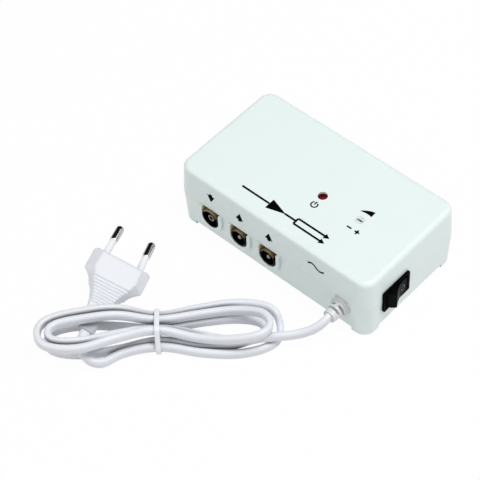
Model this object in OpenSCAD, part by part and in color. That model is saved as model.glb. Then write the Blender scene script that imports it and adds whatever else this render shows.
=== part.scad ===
// Television aerial amplifier: one input and two outputs, in a two-part case with a tied mains lead.
// Millimetres. The origin is on the table under the middle of the case, +X towards the switch,
// -Y out of the socket side and +Z up.

/* [Case] */
// Length of the case at its parting line
case_l = 122; // [118:1:150]
// Width of the case at its parting line
case_w = 68.6; // [66:0.2:90]
// Height from the table to the top face
case_h = 39.5; // [38.5:0.5:50]
// Height of the parting line above the table
split_z = 21; // [20.6:0.2:23]
// Thickness of the side walls
wall = 2.2; // [1.8:0.1:2.6]
// Thickness of the top and of the floor
skin = 2; // [1.6:0.1:2.6]
// Radius of the upright corners, where the screw bosses stand
corner_r = 6.4; // [6:0.1:8]
// Radius of the top edge
edge_r = 2.6; // [1:0.2:4]
// How far a wall leans in from the parting line to its end
draft = 0.75; // [0:0.05:1]
// Height of the corner feet
foot_h = 2.8; // [2.4:0.1:3.4]
// Length of a foot along each side
foot_l = 10; // [9.4:0.2:14]
// Height of the lip that keys the two shells together
lip_h = 2; // [1:0.1:3]

/* [Sockets] */
// Distance from the left end of the case to the input socket
input_inset = 22.2; // [21:0.1:23]
// Distance between neighbouring sockets
socket_pitch = 19; // [18:0.1:19.6]
// Height of the socket axes above the table
socket_z = 15.2; // [14.8:0.1:15.4]
// How far a socket stands out of the case wall
socket_proud = 1.3; // [0.8:0.1:2]
// Length of a socket shell
socket_l = 17; // [15:0.5:19]
// Bore of the input shell
input_bore = 9.5; // [9.4:0.1:9.8]
// Outer diameter of an output shell
output_d = 9.5; // [9:0.1:9.6]
// Wall of the socket shells
shell_t = 0.6; // [0.4:0.05:0.7]
// Bore of the input contact
contact_bore = 2.4; // [2.3:0.05:2.6]
// Diameter of an output pin
pin_d = 2.4; // [2.2:0.05:2.5]
// Wall of the collar round a socket
collar_t = 1.9; // [1.2:0.1:2.2]
// How far a collar stands out of the case wall
collar_h = 1.3; // [0.8:0.1:1.8]

/* [Switch] */
// Length of the switch frame
frame_l = 19.4; // [19:0.1:20]
// Height of the switch frame
frame_w = 14; // [13:0.1:14.4]
// Thickness of the frame's rim
frame_t = 1.1; // [0.8:0.1:1.6]
// Place of the switch along the end wall
switch_y = -13.3; // [-14:0.1:-12]
// Height of the middle of the switch
switch_z = 19.3; // [19:0.1:20.5]
// Radius of the rocker's round ends
rocker_r = 7.4; // [7:0.1:7.6]
// Tilt of the rocker from its middle to each side
rocker_tilt = 16; // [10:1:17]

/* [Controls on top] */
// Place of the lamp along the case
lamp_x = 7.5; // [5:0.5:10]
// Place of the lamp and the gain shaft across the case
control_y = -3.6; // [-4.5:0.1:-3]
// Diameter of the lamp
lamp_d = 4.8; // [3:0.1:5]
// Distance of the gain shaft from the right end of the case
gain_inset = 30.2; // [29:0.1:32]
// Diameter of the gain shaft
gain_d = 4; // [3.6:0.1:5]
// Diameter of the hole over the gain shaft
gain_hole_d = 4.8; // [4.4:0.1:6]

/* [Mains lead] */
// Width of the flat lead
lead_w = 5.4; // [5:0.1:5.6]
// Thickness of the flat lead
lead_t = 3.4; // [3:0.1:3.5]
// Distance from the switch end of the case to the lead's strain relief
relief_inset = 15.8; // [15:0.1:16.5]
// Length of the strain relief outside the case
relief_l = 9; // [8:0.5:10]
// Number of runs of the lead through the waist of the hank
hank_runs = 7; // [7]
// Half the length of the innermost loop
hank_a = 50.4; // [50:0.1:54]
// Half the width of the innermost loop
hank_b = 6.8; // [6.6:0.1:8]
// Sideways step from one loop to the next
hank_step = 4.8; // [4.8:0.1:5.2]

/* [Plug] */
// Width of the plug
plug_w = 30.7; // [28:0.1:33]
// Thickness of the plug
plug_t = 13.7; // [12:0.1:14]
// Length of a pin
pin_l = 19; // [18:0.1:19.5]
// Distance between the pins at the plug face
pin_pitch = 18.6; // [18:0.1:19]

/* [Clearances] */
// Gap between pieces that are pushed together
snug = 0.05; // [0.03:0.01:0.08]
// Gap between pieces that slide together
slide = 0.15; // [0.1:0.01:0.2]
// Gap round a shaft that turns in its hole
turning = 0.08; // [0.05:0.01:0.1]
// Gap round the switch body, beside the rocker and between the keyed shells
loose = 0.3; // [0.3:0.01:0.4]

/* [Hidden] */
$fn = 48;
arc_steps = 12;
floor_z = foot_h + skin;
lip_inset = wall / 2;
boss_r = 3.2;
boss_x = case_l / 2 - corner_r;
boss_y = case_w / 2 - corner_r;
screw_d = 2.8;
screw_head_d = 4.8;
screw_head_h = 1.8;
screw_l = 16;
screw_seat_z = 2.4;

// Circuit board, carried on posts of the lower shell.
board_t = 1.6;
board_drop = 8.2;
board_z = socket_z - board_drop;
board_top = board_z + board_t;
board_left = 11;
board_right = 23;
board_front = 1.2;
board_back = 3;
board_x0 = -case_l / 2 + board_left;
board_x1 = case_l / 2 - board_right;
board_y0 = -case_w / 2 + wall + board_front;
board_y1 = case_w / 2 - wall - board_back;
post_r = 3;
board_screw_d = 2.4;
board_screw_head_d = 4.6;
board_screw_head_h = 1.5;
board_screw_l = 5;
board_screw_edge = 4.1;

// Sockets. The first one is the input.
sockets = [for (i = [0:2]) input_inset - case_l / 2 + i * socket_pitch];
socket_front = -case_w / 2 - socket_proud;
socket_back = socket_front + socket_l;
tail_l = 2;
notch_r = input_bore / 2 + shell_t + slide;
collar_r = notch_r + collar_t;
block_w = 12.6;
block_h = 5.8;
block_gap = 2.2;
block_y = -case_w / 2 + wall + block_gap;
core_depth = 9;
contact_r = 1.9;
tail_r = 0.9;
contact_setback = 0.8;
pin_setback = 0.5;

// Switch, with d measured out of the end wall.
wall_x = case_l / 2;
frame_border = 1.6;
well_l = frame_l - 2 * frame_border;
well_w = frame_w - 2 * frame_border;
body_l = frame_l - 1.6;
body_w = frame_w - 1.6;
body_d = 13;
well_d = 8.6;
rocker_w = well_w - 2 * loose;
pivot_d = -1.5;
pivot_r = 1.1;
rocker_top = 2.2;
rocker_dish_r = 15;
blade_w = 4.8;
blade_t = 0.8;
blade_l = 6;
blade_pitch = 9;
switch_cut_l = body_l + 2 * loose;
switch_cut_w = body_w + 2 * loose;

// Lamp and gain control.
lamp_h = 6.4;
lamp_rim_r = lamp_d / 2 + 0.45;
lamp_proud = 0.5;
lamp_base_z = case_h + lamp_proud - lamp_h;
lead_pitch = 2.54;
gain_x = case_l / 2 - gain_inset;
pot_l = 10;
pot_h = 6;
pot_socket = 3;
pot_collar_t = 1.2;
pot_collar_h = 3;

// Transformer, towards the back right corner of the board.
core_l = 30;
core_h = 25;
core_stack = 12;
limb = 10;
window_w = 5;
bobbin_t = 0.8;
flange_y = core_stack / 2 + 4;
trafo_x = board_x1 - core_l / 2 - 2;
trafo_y = board_y1 - flange_y - 2.6;

// Smaller parts, beside the transformer or behind the sockets.
reservoir_d = 10;
reservoir_h = 16;
reservoir_x = trafo_x - core_l / 2 - reservoir_d / 2 - 7;
filter_d = 6.4;
filter_h = 11;
filter_x = reservoir_x - reservoir_d / 2 - filter_d / 2 - 3.8;
diode_d = 2.7;
diode_l = 5.2;
diode_span = 10;
diode_pitch = 3.6;
diode_x = reservoir_x + 1.5;
diode_y = trafo_y - flange_y - 3.5;
splitter = [7, 6, 5];
disc_d = 5;
disc_t = 2;
disc_z = 4.5;
disc_lead_d = 0.5;
disc_places = [4.8, 14.8];
disc_back = 20.6;
board_screws = [
    [board_x0 + board_screw_edge, board_y1 - board_screw_edge],
    [board_x0 + board_screw_edge, socket_back + 5.6],
    [trafo_x - core_l / 2 - 4.5, board_y1 - board_screw_edge],
    [board_x1 - 5, board_y0 + 4.9]
];

// Strain relief in the front wall.
relief_x = case_l / 2 - relief_inset;
relief_z = socket_z;
relief_flange_r = 5.2;
relief_flange_t = 1.4;
relief_neck_r = 3.8;
relief_r1 = 4.3;
relief_r2 = 3.4;
relief_ribs = 3;
relief_in = wall + lean(relief_z - relief_flange_r) + snug;
relief_tip = [relief_x, -case_w / 2 - relief_l, relief_z];

// Plug: a local frame with +X out along the pins, tipped and rolled as it lies.
plug_pos = [-55.8, -81.2, 10.2];
plug_turn = [21, 2, 112];
plug_face_l = 12.6;
plug_grip_l = 17.4;
plug_neck_l = 16;
plug_bevel = 3.9;
plug_rim = 5;
plug_l = plug_face_l + plug_grip_l + plug_neck_l;
plug_shoulder = 4.85;
plug_round = 2.5;
// Sections of the grip and neck: place along the plug, width and thickness.
plug_sections = [
    [-plug_l, 8.4, 5.6], [-plug_l + 6, 9.4, 6], [plug_neck_l - plug_l - 2, 12, 6.6],
    [plug_neck_l - plug_l + 7, 15.6, 8.8], [-plug_face_l - 3, 20, 10.8], [-plug_face_l + 1, 22.5, 11.4]
];
// Ribs of the grip: their number, and the width and thickness of the first and the last.
ribs = 8;
rib_w = [16, 9];
rib_t = [11.8, 8.6];
sleeve_l = 10;
sleeve_r = 1.75;
plug_pin_r = 2;
plug_core_r = 1.3;
pin_lean = 1.66;
pin_root = 8;

// Hank: runs through the waist are numbered from the case. The step changes over at hank_turn.
hank_pos = [-15.9, -97.8];
hank_dir = 44.3;
hank_turn = 2.5;
hank_draw = hank_b - 1;
hank_draw_l = 22;
hank_squeeze = 0.19;
hank_lean = 0.78;
hank_rings = 12;
hank_start = 5 / hank_rings;
hank_end = 79 / hank_rings;
bed_z = lead_w / 2 + 0.1;
layer_z = bed_z + lead_w + 0.6;
arch_z = 15.4;
over_z = 19.6;
tie_t = 1.1;
tie_w = 3;
tie_gap = 0.35;
// Height of the lead against the run number. It climbs a layer along run 2.5, rides over the neck of
// the plug on the loops before and after run 3.5, and over the incoming lead on the loop before run 4.5.
hank_heights = [
    [0, bed_z], [2.3, bed_z], [2.5, 8.5], [2.7, over_z - 0.4], [3, over_z], [3.38, over_z],
    [3.53, layer_z + 1], [3.62, layer_z + 0.6], [3.86, arch_z], [4.26, arch_z], [4.43, layer_z],
    [4.6, over_z - 0.4], [5, over_z], [5.39, over_z], [5.53, 8], [5.68, layer_z], [5.82, layer_z],
    [6.04, bed_z], [6.5, bed_z], [6.6, bed_z + 1]
];
// Routes of the free stretches between the pieces that hold their ends.
lead_route = [
    [44.2, -49.5, 13], [40.6, -54.2, 10.4], [36, -59.5, 9.2], [31.2, -64.6, 9.2],
    [26.8, -69.2, 9.2], [22.4, -73.8, 8.4], [17.6, -78.5, 5.2], [12.7, -82.9, 3.6]
];
plug_route = [[-35.4, -129.4, 10.6], [-32.8, -132.4, 8.8], [-27.6, -132, 6.8], [-23.2, -128, 5]];

// Rounded rectangle as a ring of points at one height.
function ring(l, w, r, z) = [
    for (q = [0:3]) for (i = [0:arc_steps])
        let (a = 90 * q + 90 * i / arc_steps,
             sx = q == 0 || q == 3 ? 1 : -1,
             sy = q < 2 ? 1 : -1)
        [sx * (l / 2 - r) + r * cos(a), sy * (w / 2 - r) + r * sin(a), z]
];

// Lean of the case walls at a height, and the case outline there, moved in by an inset.
function lean(z) = draft * abs(z - split_z) / (z > split_z ? case_h - split_z : split_z);
function outline(z, inset = 0) =
    let (d = 2 * (lean(z) + inset))
    ring(case_l - d, case_w - d, max(corner_r - inset, 0.5), z);

// Solid through a stack of rings with the same number of points.
module loft(rings) {
    n = len(rings[0]);
    top = (len(rings) - 1) * n;
    polyhedron(
        points = [for (r = rings) each r],
        faces = concat(
            [[for (i = [0:n - 1]) i]],
            [for (k = [0:len(rings) - 2]) for (i = [0:n - 1]) let (j = (i + 1) % n, a = k * n)
                each [[a + i, a + n + j, a + j], [a + i, a + n + i, a + n + j]]],
            [[for (i = [0:n - 1]) top + n - 1 - i]]
        ),
        convexity = 6
    );
}

// Points on a smooth curve through a list of points.
function spline(p, q, r, s, t) =
    0.5 * (2 * q + (r - p) * t + (2 * p - 5 * q + 4 * r - s) * t * t + (3 * q - p - 3 * r + s) * t * t * t);
function smooth(points, steps) =
    let (m = len(points) - 1)
    concat(
        [for (i = [0:m - 1]) for (k = [0:steps - 1])
            spline(points[max(i - 1, 0)], points[i], points[i + 1], points[min(i + 2, m)], k / steps)],
        [points[m]]
    );

function unit(v) = v / norm(v);
function ahead(path, i) = unit(path[min(i + 1, len(path) - 1)] - path[max(i - 1, 0)]);
// Cross-section of a lead at a point: w wide along up, t thick across it.
function section(p, dir, up, w, t, sides) =
    let (across = unit(cross(dir, up)), rise = cross(across, dir), grow = 1 / cos(180 / sides))
    [for (k = [0:sides - 1]) let (a = 90 - 360 * k / sides)
        p + across * (t / 2 * (sides == 6 ? grow : 1) * cos(a)) + rise * (w / 2 * sin(a))];
// Lead swept along a path, its wide side turning from one direction to another.
module sweep(path, w, t, sides, up0 = [0, 0, 1], up1 = [0, 0, 1]) {
    m = len(path) - 1;
    loft([for (i = [0:m]) section(path[i], ahead(path, i), up0 + (up1 - up0) * i / m, w, t, sides)]);
}

// Height of the lead on a run, eased between the listed heights.
function eased(table, t, i = 0) =
    i >= len(table) - 2 || t < table[i + 1][0]
        ? let (a = table[i], b = table[i + 1], f = min(max((t - a[0]) / (b[0] - a[0]), 0), 1))
            a[1] + (b[1] - a[1]) * (1 - cos(180 * f)) / 2
        : eased(table, t, i + 1);
// Point of the hank: run t crosses the waist at each half number and turns at each whole one.
function hank_point(t) =
    let (off = hank_step / 2 * abs(t - hank_turn),
         a = hank_a + off,
         b = hank_b + off,
         k = 90 - b / a * 360 / PI / PI,
         u = a * sin(k * cos(180 * t)) / sin(k),
         waist = exp(-pow(u / hank_draw_l, 2)),
         rise = eased(hank_heights, t),
         v = -sin(180 * t) * (hank_b - hank_draw * waist + off * (1 - hank_squeeze * waist))
             - hank_lean * (1 - waist) * max(rise - layer_z, 0),
         z = rise + (tie_t + tie_gap + 0.1) * waist)
    [hank_pos[0] + u * cos(hank_dir) - v * sin(hank_dir),
     hank_pos[1] + u * sin(hank_dir) + v * cos(hank_dir), z];
hank_steps = round((hank_end - hank_start) * hank_rings);
hank_path = [for (i = [0:hank_steps]) hank_point(hank_start + i / hank_rings)];
hank_first = hank_path[0];
hank_last = hank_path[len(hank_path) - 1];
hank_in = unit(hank_path[1] - hank_path[0]);
hank_out = unit(hank_last - hank_path[len(hank_path) - 2]);

// Least gap of the hank to itself, from points along it: strands stand on edge, so a pair is
// clear by its sideways distance less the thickness or its height difference less the width.
gap_parts = 4;
gap_points = [for (i = [1:len(hank_path) - 1]) for (k = [0:gap_parts - 1])
    hank_path[i - 1] + (hank_path[i] - hank_path[i - 1]) * k / gap_parts];
function flat_gap(p, q) = max(norm([p[0] - q[0], p[1] - q[1]]) - lead_t, abs(p[2] - q[2]) - lead_w);
hank_gap = min([for (i = [0:len(gap_points) - 1]) for (j = [i + 7 * gap_parts:len(gap_points) - 1])
    flat_gap(gap_points[i], gap_points[j])]);
lead_total = sum_length(lead_path()) + sum_length(hank_path) + sum_length(plug_path());
function sum_length(p) = sum([for (i = [1:len(p) - 1]) norm(p[i] - p[i - 1])]);
function sum(list, i = 0) = i >= len(list) ? 0 : list[i] + sum(list, i + 1);
echo(hank_gap = hank_gap, lead_total = lead_total);

// A point given in the plug's own frame.
function turn_x(p, a) = [p[0], p[1] * cos(a) - p[2] * sin(a), p[1] * sin(a) + p[2] * cos(a)];
function turn_y(p, a) = [p[0] * cos(a) + p[2] * sin(a), p[1], -p[0] * sin(a) + p[2] * cos(a)];
function turn_z(p, a) = [p[0] * cos(a) - p[1] * sin(a), p[0] * sin(a) + p[1] * cos(a), p[2]];
function plug_turned(p) = turn_z(turn_y(turn_x(p, plug_turn[0]), plug_turn[1]), plug_turn[2]);
function plug_point(p) = plug_pos + plug_turned(p);

function lead_path() = concat(
    [relief_tip, relief_tip - [0, 2, 0]],
    smooth(concat(lead_route, [hank_first - hank_in * lead_t / 2]), 3),
    [hank_first]
);
function plug_path() = concat(
    [plug_point([-plug_l, 0, 0]), plug_point([-plug_l - 2, 0, 0])],
    smooth(concat(plug_route, [hank_last + hank_out * lead_w]), 3),
    [hank_last]
);

// Case

// Ring-shaped wall between two insets and two heights.
module rim(z0, z1, outer, inner) {
    difference() {
        loft([outline(z0, outer), outline(z1, outer)]);
        loft([outline(z0 - 1, inner), outline(z1 + 1, inner)]);
    }
}

// Slot through the front wall, round at the bottom and open upwards to the parting line.
module front_slot(x, z, r, depth0, depth1, top) {
    translate([x, -depth0, z]) rotate([90, 0, 0]) linear_extrude(depth1 - depth0) {
        intersection() {
            circle(r = r);
            translate([-r, -r]) square([2 * r, r + 0.1]);
        }
        translate([-r, 0]) square([2 * r, top - z]);
    }
}

module switch_cut() {
    translate([wall_x - 4 * wall, switch_y - switch_cut_l / 2, switch_z - switch_cut_w / 2])
        cube([8 * wall, switch_cut_l, switch_cut_w]);
}

module at_bosses() {
    for (x = [-1, 1], y = [-1, 1]) translate([x * boss_x, y * boss_y, 0]) children();
}

module upper_shell() {
    in_top = case_h - skin;
    fillet = [for (i = [0:5]) let (a = 18 * i)
        outline(case_h - edge_r + edge_r * sin(a), edge_r * (1 - cos(a)))];
    color("whitesmoke") difference() {
        union() {
            difference() {
                loft(concat([outline(split_z)], fillet));
                loft([outline(split_z - 1, wall), outline(in_top, wall)]);
            }
            intersection() {
                at_bosses() translate([0, 0, split_z + loose]) cylinder(r = boss_r, h = in_top - split_z);
                loft([outline(split_z, wall / 2), outline(in_top + skin / 2, wall / 2)]);
            }
        }
        difference() {
            translate([-case_l, -case_w, split_z - 1]) cube([2 * case_l, 2 * case_w, 1 + lip_h + loose]);
            rim(split_z - 2, split_z + lip_h + 2, -1, lip_inset);
            loft([outline(split_z - 2, wall), outline(split_z + lip_h + 2, wall)]);
        }
        at_bosses() translate([0, 0, split_z - 1]) cylinder(d = screw_d + 2 * snug, h = screw_l);
        translate([lamp_x, control_y, in_top - 1]) cylinder(d = lamp_d + 2 * slide, h = 2 * skin);
        translate([gain_x, control_y, in_top - 1]) cylinder(d = gain_hole_d, h = 2 * skin);
        switch_cut();
    }
}

module lower_shell() {
    front = case_w / 2;
    lip_break = 2 * collar_r + 2;
    color("white") difference() {
        union() {
            difference() {
                loft([outline(0, 0.4), outline(0.5), outline(split_z)]);
                loft([outline(floor_z, wall), outline(split_z + 1, wall)]);
                for (s = [[2 * case_l, case_w - 2 * foot_l], [case_l - 2 * foot_l, 2 * case_w]])
                    translate([0, 0, -1]) linear_extrude(foot_h + 1) square(s, center = true);
            }
            difference() {
                rim(split_z - 1, split_z + lip_h, lip_inset + slide, wall - slide);
                for (x = concat(sockets, [relief_x]))
                    translate([x - lip_break / 2, -front - 1, split_z - 0.5])
                        cube([lip_break, 4 * wall, 2 * lip_h]);
                switch_cut();
            }
            for (x = sockets)
                front_slot(x, socket_z, collar_r, front - wall, front + collar_h, split_z - snug);
            translate([0, 0, foot_h + skin / 2]) {
                at_bosses() cylinder(r = boss_r, h = split_z - foot_h - skin / 2);
                for (p = board_screws) translate(p) cylinder(r = post_r, h = board_z - foot_h - skin / 2);
            }
        }
        for (x = sockets)
            front_slot(x, socket_z, notch_r, front - 2 * wall, front + 2 * collar_h, split_z + 1);
        front_slot(relief_x, relief_z, relief_neck_r + snug, front - 2 * wall, front + wall, split_z + 1);
        switch_cut();
        at_bosses() {
            translate([0, 0, -1]) cylinder(d = screw_head_d + 2 * slide, h = screw_seat_z + 1);
            translate([0, 0, -1]) cylinder(d = screw_d + 2 * slide, h = case_h);
        }
        for (p = board_screws) translate([p[0], p[1], floor_z])
            cylinder(d = board_screw_d + 2 * snug, h = case_h);
    }
}

// Pan-head screw with its seat at z = 0 and its shank upwards.
module screw(d, l, head_d, head_h) {
    difference() {
        union() {
            cylinder(d = d, h = l);
            translate([0, 0, -head_h]) cylinder(d1 = head_d * 0.8, d2 = head_d, h = head_h);
        }
        for (a = [0, 90]) rotate(a) translate([-head_d / 3, -0.3, -head_h - 1])
            cube([head_d / 1.5, 0.6, head_h / 2 + 1]);
    }
}

module case_screw(i) {
    x = i % 2 == 0 ? 1 : -1;
    y = i > 2 ? 1 : -1;
    color("silver") translate([x * boss_x, y * boss_y, screw_seat_z])
        screw(screw_d, screw_l, screw_head_d, screw_head_h);
}

module board_screw(i) {
    p = board_screws[i - 1];
    shank = min(board_screw_l, board_top - floor_z);
    color("silver") translate([p[0], p[1], board_top]) mirror([0, 0, 1])
        screw(board_screw_d, shank, board_screw_head_d, board_screw_head_h);
}

module circuit_board() {
    color("peru") difference() {
        translate([board_x0, board_y0, board_z]) cube([board_x1 - board_x0, board_y1 - board_y0, board_t]);
        for (p = board_screws) translate([p[0], p[1], board_z - 1])
            cylinder(d = board_screw_d + 2 * slide, h = board_t + 2);
    }
}

// Sockets, each drawn along +Y from its front.
module at_socket(i) {
    translate([sockets[i], socket_front, socket_z]) rotate([-90, 0, 0]) children();
}

// Metal tube with the block that stands on the board.
module socket_shell(i, r) {
    inner = r - shell_t;
    color("tan") difference() {
        union() {
            at_socket(i) cylinder(r = r, h = socket_l);
            translate([sockets[i] - block_w / 2, block_y, board_top])
                cube([block_w, socket_back - block_y, socket_z + block_h - board_top]);
        }
        at_socket(i) translate([0, 0, -1]) cylinder(r = inner, h = socket_l + 2);
    }
}

module socket_insulator(i, r) {
    color("black") at_socket(i) translate([0, 0, core_depth]) difference() {
        cylinder(r = r - shell_t - snug, h = socket_l - core_depth);
        translate([0, 0, -1]) cylinder(r = tail_r + snug, h = socket_l);
    }
}

// Tail behind a centre contact, bent down to the board.
module contact_tail(i) {
    at_socket(i) translate([0, 0, core_depth]) cylinder(r = tail_r, h = socket_l - core_depth + tail_l);
    translate([sockets[i], socket_back + tail_l - tail_r, board_top])
        cylinder(r = tail_r, h = socket_z - board_top);
}

module input_contact() {
    color("gold") {
        at_socket(0) difference() {
            translate([0, 0, contact_setback]) cylinder(r = contact_r, h = core_depth - contact_setback);
            cylinder(d = contact_bore, h = core_depth - 0.5);
        }
        contact_tail(0);
    }
}

module output_pin(i) {
    tip = 0.4;
    color("gainsboro") {
        at_socket(i) translate([0, 0, pin_setback]) {
            cylinder(d1 = pin_d - 2 * tip, d2 = pin_d, h = tip);
            translate([0, 0, tip]) cylinder(d = pin_d, h = core_depth - pin_setback - tip);
        }
        contact_tail(i);
    }
}

// Lamp and gain control

module power_lamp() {
    r = lamp_d / 2;
    color("crimson") translate([lamp_x, control_y, lamp_base_z]) {
        cylinder(r = lamp_rim_r, h = 1);
        cylinder(r = r, h = lamp_h - r);
        translate([0, 0, lamp_h - r]) sphere(r = r);
    }
}

module lamp_leads() {
    lead_w = 0.5;
    for (x = [-1, 1]) color("silver")
        translate([lamp_x + (x * lead_pitch - lead_w) / 2, control_y - lead_w / 2, board_top])
            cube([lead_w, lead_w, lamp_base_z - board_top]);
}

module gain_pot() {
    color("darkslategray") difference() {
        union() {
            translate([gain_x - pot_l / 2, control_y - pot_l / 2, board_top]) cube([pot_l, pot_l, pot_h]);
            translate([gain_x, control_y, board_top + pot_h])
                cylinder(d = gain_d + 2 * pot_collar_t, h = pot_collar_h);
        }
        translate([gain_x, control_y, board_top + pot_h - pot_socket])
            cylinder(d = gain_d + 2 * turning, h = pot_socket + pot_collar_h + 1);
    }
}

module gain_shaft() {
    z0 = board_top + pot_h - pot_socket + loose;
    slot_w = 1;
    slot_d = 1.6;
    color("ivory") translate([gain_x, control_y, z0]) difference() {
        union() {
            cylinder(d = gain_d, h = case_h - z0 - 0.9);
            translate([0, 0, case_h - z0 - 0.9]) cylinder(d1 = gain_d, d2 = gain_d - 1, h = 0.5);
        }
        translate([-gain_d, -slot_w / 2, case_h - z0 - 0.4 - slot_d]) cube([2 * gain_d, slot_w, 2 * slot_d]);
    }
}

// Switch

module at_switch() {
    translate([wall_x, switch_y, switch_z]) children();
}

module switch_frame() {
    color("black") difference() {
        at_switch() union() {
            rotate([0, 90, 0]) linear_extrude(frame_t) difference() {
                square([frame_w, frame_l], center = true);
                for (x = [-1, 1], y = [-1, 1]) translate([x * frame_w / 2, y * frame_l / 2])
                    rotate(45) square(1, center = true);
            }
            translate([-body_d, -body_l / 2, -body_w / 2]) cube([body_d, body_l, body_w]);
        }
        at_switch() {
            translate([frame_t + 1 - well_d, -well_l / 2, -well_w / 2]) cube([well_d, well_l, well_w]);
            translate([pivot_d, 0, -body_w]) cylinder(r = pivot_r + turning, h = 2 * body_w);
        }
    }
}

// Rocker about its pivot: round ends, dished top and two trunnions.
module rocker_profile() {
    difference() {
        intersection() {
            circle(r = rocker_r, $fn = 96);
            translate([-2.6, -rocker_r]) square([2 * rocker_r, 2 * rocker_r]);
            translate([-2.6, -rocker_r]) square([2.6 + rocker_top - pivot_d + 1.1, 2 * rocker_r]);
        }
        translate([rocker_top - pivot_d + rocker_dish_r, 0]) circle(r = rocker_dish_r, $fn = 96);
    }
}

module switch_rocker() {
    color("#181818") at_switch() translate([pivot_d, 0, 0]) rotate(rocker_tilt) {
        translate([0, 0, -rocker_w / 2]) linear_extrude(rocker_w) rocker_profile();
        translate([0, 0, -body_w / 2 + 0.1]) cylinder(r = pivot_r, h = body_w - 0.2);
    }
}

module switch_blade(i) {
    y = (i == 1 ? -1 : 1) * blade_pitch / 2;
    color("goldenrod") at_switch() translate([-body_d - blade_l, y - blade_t / 2, -blade_w / 2])
        cube([blade_l, blade_t, blade_w]);
}

// Power supply

module at_trafo() {
    translate([trafo_x, trafo_y, board_top]) children();
}

module transformer_core() {
    window_h = core_h - limb;
    color("dimgray") at_trafo() rotate([90, 0, 0]) translate([0, 0, -core_stack / 2])
        linear_extrude(core_stack) difference() {
            translate([-core_l / 2, 0]) square([core_l, core_h]);
            for (x = [-1, 1]) translate([x * (limb + window_w) / 2 - window_w / 2, limb / 2])
                square([window_w, window_h]);
        }
}

module transformer_bobbin() {
    z0 = limb / 2 + snug;
    h = core_h - limb - 2 * snug;
    inner = [limb + 2 * snug, core_stack + 2 * snug];
    flange = [limb + 2 * window_w - 2 * snug, 2 * flange_y];
    color("ivory") at_trafo() translate([0, 0, z0]) difference() {
        union() {
            linear_extrude(h) square(inner + 2 * [bobbin_t, bobbin_t], center = true);
            for (z = [0, h - bobbin_t]) translate([0, 0, z])
                linear_extrude(bobbin_t) square(flange, center = true);
        }
        translate([0, 0, -1]) linear_extrude(h + 2) square(inner, center = true);
    }
}

module transformer_winding() {
    z0 = limb / 2 + snug + bobbin_t;
    h = core_h - limb - 2 * snug - 2 * bobbin_t;
    inner = [limb + 2 * snug + 2 * bobbin_t, core_stack + 2 * snug + 2 * bobbin_t];
    outer = [limb + 2 * window_w - 0.8, 2 * flange_y - 1];
    color("khaki") at_trafo() translate([0, 0, z0]) linear_extrude(h) difference() {
        square(outer, center = true);
        square(inner, center = true);
    }
}

// Electrolytic can with its rolled-in bead.
module can(x, y, d, h) {
    r = d / 2;
    translate([x, y, board_top]) rotate_extrude()
        polygon([[0, 0], [r, 0], [r, 1.5], [r - 0.5, 2], [r, 2.5], [r, h - 0.4], [r - 0.4, h], [0, h]]);
}

module reservoir_capacitor() { color("midnightblue") can(reservoir_x, trafo_y, reservoir_d, reservoir_h); }
module filter_capacitor() { color("midnightblue") can(filter_x, trafo_y, filter_d, filter_h); }

// Axial diode on two bent leads, along X.
module rectifier_diode(i) {
    lead_d = 0.8;
    z = diode_d / 2 + 0.65;
    leg = (diode_span - lead_d) / 2;
    translate([diode_x, diode_y - diode_pitch * (i - 1), board_top]) {
        translate([0, 0, z]) rotate([0, 90, 0]) {
            color("black") cylinder(d = diode_d, h = diode_l, center = true);
            color("silver") cylinder(d = lead_d, h = diode_span, center = true);
        }
        color("silver") for (s = [-1, 1]) translate([s * leg, 0, 0]) cylinder(d = lead_d, h = z);
    }
}

// Small transistor case with a flat, on three legs.
module small_case(x, y) {
    legs = 2.5;
    translate([x, y, board_top]) {
        translate([0, 0, legs]) intersection() {
            cylinder(d = 4.8, h = 4.8);
            translate([-3, -1.2, 0]) cube([6, 6, 5]);
        }
        for (s = [-1, 0, 1]) translate([s * 1.27, 0, 0]) cylinder(d = 0.5, h = legs + 0.5);
    }
}

module voltage_regulator() { color("black") small_case(filter_x, trafo_y - flange_y - 0.5); }
module amplifier_transistor(i) {
    color("black") small_case(sockets[0] + (i == 1 ? 0.8 : 9.8), socket_back + 11.6);
}

module splitter_core() {
    color("gray") translate([sockets[1] + 6.6, socket_back + 2.6, board_top]) difference() {
        translate([-splitter[0] / 2, 0, 0]) cube(splitter);
        for (s = [-1, 1]) translate([s * 1.6, -1, splitter[2] / 2]) rotate([-90, 0, 0])
            cylinder(d = 1.8, h = splitter[1] + 2);
    }
}

module disc_capacitor(i) {
    color("orange") translate([sockets[0] + disc_places[i - 1], socket_back + disc_back, board_top]) {
        translate([0, disc_t / 2, disc_z]) rotate([90, 0, 0]) cylinder(d = disc_d, h = disc_t);
        for (s = [-1, 1]) translate([s * lead_pitch / 2, 0, 0]) cylinder(d = disc_lead_d, h = disc_z - 0.5);
    }
}

// Wires from the strain relief to the switch and the board.
wire_d = 2;
relief_back = [relief_x, -case_w / 2 + relief_in + relief_flange_t, relief_z];
blade_tip = wall_x - body_d - blade_l;
module wire(from, route, to, up) {
    sweep(concat([from], smooth(route, 2), [to]), wire_d, wire_d, 8, up, up);
}

module live_wire() {
    end = [blade_tip, switch_y - blade_pitch / 2, switch_z];
    color("saddlebrown") wire(relief_back + [1.6, 0, 0],
        [relief_back + [1.6, 3, 0], relief_back + [-1, 7.3, 0.5], end - [4, 1.2, 1.3], end - [2, 0, 0]],
        end, [0, 0, 1]);
}

module switched_wire() {
    start = [blade_tip, switch_y + blade_pitch / 2, switch_z];
    end = [board_x1 - 1.4, start[1] - 2.2, board_top];
    color("saddlebrown") wire(start,
        [start - [2, 0, 0], [end[0] + 0.4, end[1] + 1, start[2] - 2.3], end + [0, 0, 3.4]], end, [0, 1, 0]);
}

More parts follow.
